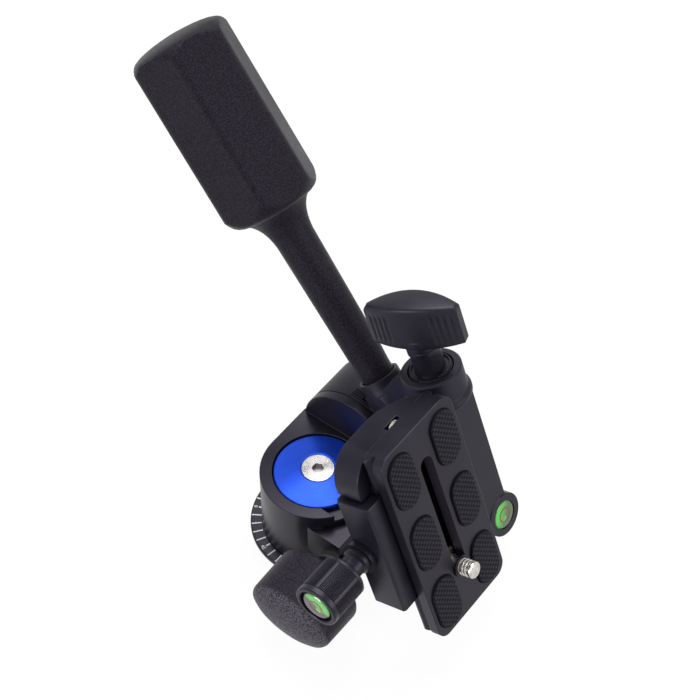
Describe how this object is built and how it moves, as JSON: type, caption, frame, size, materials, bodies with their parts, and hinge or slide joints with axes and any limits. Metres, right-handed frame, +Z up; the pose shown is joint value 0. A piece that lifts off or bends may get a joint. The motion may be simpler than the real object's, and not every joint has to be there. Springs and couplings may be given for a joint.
{
  "type": "panoramic tripod head",
  "caption": "Pan and tilt tripod head with a long grip handle, a flip-over dovetail clamp with screw jaw, a padded quick release plate and a graduated pan base.",
  "frame": {"origin": "mouth of the tripod thread in the underside of the base, on the pan axis", "axes": "+Z up along the pan axis, +X along the tilt axis towards the clamp knob, +Y to the front, the way the table is tilted"},
  "size_m": [0.1142, 0.1758, 0.1787],
  "materials": {
    "black_metal": "satin black anodised",
    "blue_metal": "satin blue anodised",
    "bright_steel": "turned, bright",
    "grip_plastic": "fine grain, matte",
    "knob_plastic": "satin moulded",
    "pad_rubber": "fine woven texture",
    "slip_plastic": "smooth",
    "disc_brass": "turned",
    "vial_green": "clear green level"
  },
  "bodies": {
    "base": {"base_disc": "black_metal", "thread_bush": "bright_steel", "pan_spigot": "black_metal", "slip_ring": "slip_plastic", "blue_cap": "blue_metal", "cap_screw": "bright_steel", "cap_washer": "slip_plastic"},
    "pan": {"pan_housing": "black_metal", "tilt_axle": "bright_steel", "friction_disc": "disc_brass", "axle_cap": "black_metal", "axle_screw": "bright_steel"},
    "pan_lock": {"pan_knob": "grip_plastic", "pan_stud": "bright_steel", "pan_washer": "bright_steel"},
    "tilt": {"tilt_drum": "black_metal"},
    "handle": {"handle_grip": "grip_plastic", "handle_rod": "bright_steel"},
    "table": {"clamp_table": "black_metal", "flip_axle": "bright_steel", "table_vial": "vial_green"},
    "wing": {"wing_knob": "knob_plastic", "wing_washer": "black_metal"},
    "jaw": {"clamp_jaw": "black_metal", "guide_pin_rear": "bright_steel", "guide_pin_front": "bright_steel"},
    "clamp": {"clamp_knob": "black_metal", "clamp_screw": "bright_steel", "clamp_washer": "black_metal", "knob_vial": "vial_green"},
    "plate": {"release_plate": "black_metal", "stop_rear": "bright_steel", "stop_front": "bright_steel", "pad_right_rear": "pad_rubber", "pad_right_mid": "pad_rubber", "pad_right_front": "pad_rubber", "pad_left_rear": "pad_rubber", "pad_left_mid": "pad_rubber", "pad_left_front": "pad_rubber"},
    "camera_stud": {"camera_screw": "bright_steel", "screw_clip": "black_metal"}
  },
  "joints": [
    {"name": "pan_turn", "type": "hinge", "parent": "base", "child": "pan", "pos_m": [0, 0, 0.02], "axis": [0, 0, 1], "continuous": true},
    {"name": "pan_lock_turn", "type": "hinge", "parent": "pan", "child": "pan_lock", "pos_m": [0, 0.0223, 0.0195], "axis": [1, 0, 0], "range_deg": [-180, 180]},
    {"name": "tilt_turn", "type": "hinge", "parent": "pan", "child": "tilt", "pos_m": [0, 0, 0.038], "axis": [-1, 0, 0], "range_deg": [-85, 12]},
    {"name": "handle_twist", "type": "hinge", "parent": "tilt", "child": "handle", "pos_m": [-0.0313, 0.00384, 0.06749], "axis": [-0.0837, -0.6947, 0.7144], "range_deg": [-180, 180]},
    {"name": "flip_turn", "type": "hinge", "parent": "tilt", "child": "table", "pos_m": [-0.0315, 0.03918, 0.05226], "axis": [0, -0.342, 0.9397], "range_deg": [0, 90]},
    {"name": "wing_turn", "type": "hinge", "parent": "table", "child": "wing", "pos_m": [-0.0315, 0.02174, 0.10019], "axis": [0, -0.342, 0.9397], "range_deg": [-180, 180]},
    {"name": "jaw_slide", "type": "slide", "parent": "table", "child": "jaw", "axis": [1, 0, 0], "range_m": [0, 0.004]},
    {"name": "clamp_turn", "type": "hinge", "parent": "jaw", "child": "clamp", "pos_m": [0.04, 0.04003, 0.05257], "axis": [1, 0, 0], "range_deg": [0, 1441]},
    {"name": "plate_slide", "type": "slide", "parent": "table", "child": "plate", "axis": [0, 0.342, -0.9397], "range_m": [-0.0135, 0.0065]},
    {"name": "stud_slide", "type": "slide", "parent": "plate", "child": "camera_stud", "axis": [0, -0.342, 0.9397], "range_m": [0, 0.049]}
  ],
  "couplings": [
    {"joint": "clamp_turn", "follows": "jaw_slide", "rad_per_m": 6283.2}
  ]
}
